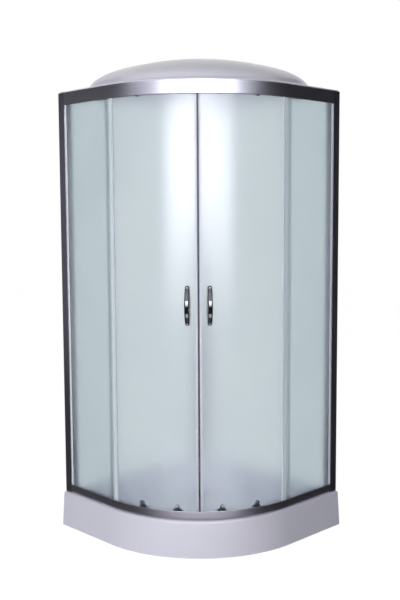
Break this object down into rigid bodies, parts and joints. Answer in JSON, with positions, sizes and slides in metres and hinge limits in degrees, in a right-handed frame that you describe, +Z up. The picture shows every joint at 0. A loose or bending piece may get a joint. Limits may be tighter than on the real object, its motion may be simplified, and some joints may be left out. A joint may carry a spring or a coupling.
{
  "type": "quadrant shower enclosure",
  "caption": "Quadrant shower cabin: low curved tray, aluminium frame, frosted fixed panes, curved sliding doors on roller carriers with bow handles, glass back walls and a domed roof.",
  "frame": {"origin": "on the floor under the middle of the 900 mm square that the tray fills", "axes": "+Z up; back wall A lies at +Y and back wall B at -X, both square to the axes; the curved front faces (+X, -Y)"},
  "size_m": [0.9, 0.9, 2.0868],
  "materials": {
    "white_acrylic": "gloss, slightly cool white sanitary acrylic",
    "satin_aluminium": "satin anodised",
    "frosted_glass": "frosted tempered glass",
    "wall_glass": "frosted tempered back panel",
    "seal_pvc": "milky soft PVC",
    "chrome": "polished chrome plate",
    "galvanised_steel": "galvanised",
    "zinc_casting": "dark grey coated zinc",
    "screw_steel": "plated",
    "trap_plastic": "moulded, matte",
    "foot_plastic": "moulded, matte",
    "stop_rubber": "matte",
    "wheel_nylon": "smooth grey nylon"
  },
  "bodies": {
    "root": {"tray": "white_acrylic", "tray_frame": "galvanised_steel", "waste_trap": "trap_plastic", "corner_post": "satin_aluminium", "wall_post_right": "satin_aluminium", "wall_post_left": "satin_aluminium", "header_rail": "satin_aluminium", "bottom_rail": "satin_aluminium", "rail_screws": "screw_steel", "roof_screws": "screw_steel", "back_wall_right": "wall_glass", "back_wall_left": "wall_glass", "fixed_pane_right": "frosted_glass", "fixed_pane_left": "frosted_glass", "pane_gaskets": "seal_pvc", "pane_edge_seals": "seal_pvc", "roof": "white_acrylic", "door_stops": "stop_rubber"},
    "foot_1": {"levelling_foot_1": "foot_plastic"},
    "foot_2": {"levelling_foot_2": "foot_plastic"},
    "foot_3": {"levelling_foot_3": "foot_plastic"},
    "foot_4": {"levelling_foot_4": "foot_plastic"},
    "waste_cover": {"waste_cover": "chrome"},
    "door_right": {"door_glass_right": "frosted_glass", "magnetic_seal_right": "seal_pvc", "trailing_seal_right": "seal_pvc", "handle_right": "chrome", "top_carriers_right": "zinc_casting", "bottom_guides_right": "zinc_casting", "door_bolts_right": "screw_steel"},
    "front_cradle_right": {"front_cradle_right": "zinc_casting"},
    "top_front_wheel_1_right": {"top_front_wheel_1_right": "wheel_nylon"},
    "top_front_wheel_2_right": {"top_front_wheel_2_right": "wheel_nylon"},
    "bottom_front_wheel_1_right": {"bottom_front_wheel_1_right": "wheel_nylon"},
    "bottom_front_wheel_2_right": {"bottom_front_wheel_2_right": "wheel_nylon"},
    "rear_cradle_right": {"rear_cradle_right": "zinc_casting"},
    "top_rear_wheel_1_right": {"top_rear_wheel_1_right": "wheel_nylon"},
    "top_rear_wheel_2_right": {"top_rear_wheel_2_right": "wheel_nylon"},
    "bottom_rear_wheel_1_right": {"bottom_rear_wheel_1_right": "wheel_nylon"},
    "bottom_rear_wheel_2_right": {"bottom_rear_wheel_2_right": "wheel_nylon"},
    "door_left": {"door_glass_left": "frosted_glass", "magnetic_seal_left": "seal_pvc", "trailing_seal_left": "seal_pvc", "handle_left": "chrome", "top_carriers_left": "zinc_casting", "bottom_guides_left": "zinc_casting", "door_bolts_left": "screw_steel"},
    "front_cradle_left": {"front_cradle_left": "zinc_casting"},
    "top_front_wheel_1_left": {"top_front_wheel_1_left": "wheel_nylon"},
    "top_front_wheel_2_left": {"top_front_wheel_2_left": "wheel_nylon"},
    "bottom_front_wheel_1_left": {"bottom_front_wheel_1_left": "wheel_nylon"},
    "bottom_front_wheel_2_left": {"bottom_front_wheel_2_left": "wheel_nylon"},
    "rear_cradle_left": {"rear_cradle_left": "zinc_casting"},
    "top_rear_wheel_1_left": {"top_rear_wheel_1_left": "wheel_nylon"},
    "top_rear_wheel_2_left": {"top_rear_wheel_2_left": "wheel_nylon"},
    "bottom_rear_wheel_1_left": {"bottom_rear_wheel_1_left": "wheel_nylon"},
    "bottom_rear_wheel_2_left": {"bottom_rear_wheel_2_left": "wheel_nylon"}
  },
  "joints": [
    {"name": "foot_1_screw", "type": "slide", "parent": "root", "child": "foot_1", "axis": [0, 0, -1], "range_m": [0, 0.015]},
    {"name": "foot_2_screw", "type": "slide", "parent": "root", "child": "foot_2", "axis": [0, 0, -1], "range_m": [0, 0.015]},
    {"name": "foot_3_screw", "type": "slide", "parent": "root", "child": "foot_3", "axis": [0, 0, -1], "range_m": [0, 0.015]},
    {"name": "foot_4_screw", "type": "slide", "parent": "root", "child": "foot_4", "axis": [0, 0, -1], "range_m": [0, 0.015]},
    {"name": "waste_cover_lift", "type": "slide", "parent": "root", "child": "waste_cover", "axis": [0, 0, 1], "range_m": [0, 0.06]},
    {"name": "door_right_slide", "type": "hinge", "parent": "root", "child": "door_right", "pos_m": [-0.1, 0.1, 0], "axis": [0, 0, 1], "range_deg": [0, 28]},
    {"name": "front_cradle_right_release", "type": "slide", "parent": "door_right", "child": "front_cradle_right", "axis": [0, 0, 1], "range_m": [0, 0.006], "stiffness_N_per_m": 400, "springref_m": -0.01},
    {"name": "top_front_wheel_1_right_spin", "type": "hinge", "parent": "door_right", "child": "top_front_wheel_1_right", "pos_m": [0.30213, -0.18598, 1.915], "axis": [0.8149, -0.5796, 0], "range_deg": [-1842.71, 0]},
    {"name": "top_front_wheel_2_right_spin", "type": "hinge", "parent": "door_right", "child": "top_front_wheel_2_right", "pos_m": [0.31393, -0.16861, 1.915], "axis": [0.8389, -0.5444, 0], "range_deg": [-1842.71, 0]},
    {"name": "bottom_front_wheel_1_right_spin", "type": "hinge", "parent": "front_cradle_right", "child": "bottom_front_wheel_1_right", "pos_m": [0.30213, -0.18598, 0.183], "axis": [0.8149, -0.5796, 0], "range_deg": [-1842.71, 0]},
    {"name": "bottom_front_wheel_2_right_spin", "type": "hinge", "parent": "front_cradle_right", "child": "bottom_front_wheel_2_right", "pos_m": [0.31393, -0.16861, 0.183], "axis": [0.8389, -0.5444, 0], "range_deg": [-1842.71, 0]},
    {"name": "rear_cradle_right_release", "type": "slide", "parent": "door_right", "child": "rear_cradle_right", "axis": [0, 0, 1], "range_m": [0, 0.006], "stiffness_N_per_m": 400, "springref_m": -0.01},
    {"name": "top_rear_wheel_1_right_spin", "type": "hinge", "parent": "door_right", "child": "top_rear_wheel_1_right", "pos_m": [0.37133, -0.04608, 1.915], "axis": [0.9552, -0.296, 0], "range_deg": [-1842.71, 0]},
    {"name": "top_rear_wheel_2_right_spin", "type": "hinge", "parent": "door_right", "child": "top_rear_wheel_2_right", "pos_m": [0.37712, -0.02589, 1.915], "axis": [0.9669, -0.2551, 0], "range_deg": [-1842.71, 0]},
    {"name": "bottom_rear_wheel_1_right_spin", "type": "hinge", "parent": "rear_cradle_right", "child": "bottom_rear_wheel_1_right", "pos_m": [0.37133, -0.04608, 0.183], "axis": [0.9552, -0.296, 0], "range_deg": [-1842.71, 0]},
    {"name": "bottom_rear_wheel_2_right_spin", "type": "hinge", "parent": "rear_cradle_right", "child": "bottom_rear_wheel_2_right", "pos_m": [0.37712, -0.02589, 0.183], "axis": [0.9669, -0.2551, 0], "range_deg": [-1842.71, 0]},
    {"name": "door_left_slide", "type": "hinge", "parent": "root", "child": "door_left", "pos_m": [-0.1, 0.1, 0], "axis": [0, 0, 1], "range_deg": [-28, 0]},
    {"name": "front_cradle_left_release", "type": "slide", "parent": "door_left", "child": "front_cradle_left", "axis": [0, 0, 1], "range_m": [0, 0.006], "stiffness_N_per_m": 400, "springref_m": -0.01},
    {"name": "top_front_wheel_1_left_spin", "type": "hinge", "parent": "door_left", "child": "top_front_wheel_1_left", "pos_m": [0.18598, -0.30213, 1.915], "axis": [0.5796, -0.8149, 0], "range_deg": [0, 1842.71]},
    {"name": "top_front_wheel_2_left_spin", "type": "hinge", "parent": "door_left", "child": "top_front_wheel_2_left", "pos_m": [0.16861, -0.31393, 1.915], "axis": [0.5444, -0.8389, 0], "range_deg": [0, 1842.71]},
    {"name": "bottom_front_wheel_1_left_spin", "type": "hinge", "parent": "front_cradle_left", "child": "bottom_front_wheel_1_left", "pos_m": [0.18598, -0.30213, 0.183], "axis": [0.5796, -0.8149, 0], "range_deg": [0, 1842.71]},
    {"name": "bottom_front_wheel_2_left_spin", "type": "hinge", "parent": "front_cradle_left", "child": "bottom_front_wheel_2_left", "pos_m": [0.16861, -0.31393, 0.183], "axis": [0.5444, -0.8389, 0], "range_deg": [0, 1842.71]},
    {"name": "rear_cradle_left_release", "type": "slide", "parent": "door_left", "child": "rear_cradle_left", "axis": [0, 0, 1], "range_m": [0, 0.006], "stiffness_N_per_m": 400, "springref_m": -0.01},
    {"name": "top_rear_wheel_1_left_spin", "type": "hinge", "parent": "door_left", "child": "top_rear_wheel_1_left", "pos_m": [0.04608, -0.37133, 1.915], "axis": [0.296, -0.9552, 0], "range_deg": [0, 1842.71]},
    {"name": "top_rear_wheel_2_left_spin", "type": "hinge", "parent": "door_left", "child": "top_rear_wheel_2_left", "pos_m": [0.02589, -0.37712, 1.915], "axis": [0.2551, -0.9669, 0], "range_deg": [0, 1842.71]},
    {"name": "bottom_rear_wheel_1_left_spin", "type": "hinge", "parent": "rear_cradle_left", "child": "bottom_rear_wheel_1_left", "pos_m": [0.04608, -0.37133, 0.183], "axis": [0.296, -0.9552, 0], "range_deg": [0, 1842.71]},
    {"name": "bottom_rear_wheel_2_left_spin", "type": "hinge", "parent": "rear_cradle_left", "child": "bottom_rear_wheel_2_left", "pos_m": [0.02589, -0.37712, 0.183], "axis": [0.2551, -0.9669, 0], "range_deg": [0, 1842.71]}
  ],
  "couplings": [
    {"joint": "top_front_wheel_1_right_spin", "follows": "door_right_slide", "ratio": -65.793},
    {"joint": "top_front_wheel_2_right_spin", "follows": "door_right_slide", "ratio": -65.793},
    {"joint": "bottom_front_wheel_1_right_spin", "follows": "door_right_slide", "ratio": -65.793},
    {"joint": "bottom_front_wheel_2_right_spin", "follows": "door_right_slide", "ratio": -65.793},
    {"joint": "top_rear_wheel_1_right_spin", "follows": "door_right_slide", "ratio": -65.793},
    {"joint": "top_rear_wheel_2_right_spin", "follows": "door_right_slide", "ratio": -65.793},
    {"joint": "bottom_rear_wheel_1_right_spin", "follows": "door_right_slide", "ratio": -65.793},
    {"joint": "bottom_rear_wheel_2_right_spin", "follows": "door_right_slide", "ratio": -65.793},
    {"joint": "top_front_wheel_1_left_spin", "follows": "door_left_slide", "ratio": -65.793},
    {"joint": "top_front_wheel_2_left_spin", "follows": "door_left_slide", "ratio": -65.793},
    {"joint": "bottom_front_wheel_1_left_spin", "follows": "door_left_slide", "ratio": -65.793},
    {"joint": "bottom_front_wheel_2_left_spin", "follows": "door_left_slide", "ratio": -65.793},
    {"joint": "top_rear_wheel_1_left_spin", "follows": "door_left_slide", "ratio": -65.793},
    {"joint": "top_rear_wheel_2_left_spin", "follows": "door_left_slide", "ratio": -65.793},
    {"joint": "bottom_rear_wheel_1_left_spin", "follows": "door_left_slide", "ratio": -65.793},
    {"joint": "bottom_rear_wheel_2_left_spin", "follows": "door_left_slide", "ratio": -65.793}
  ]
}
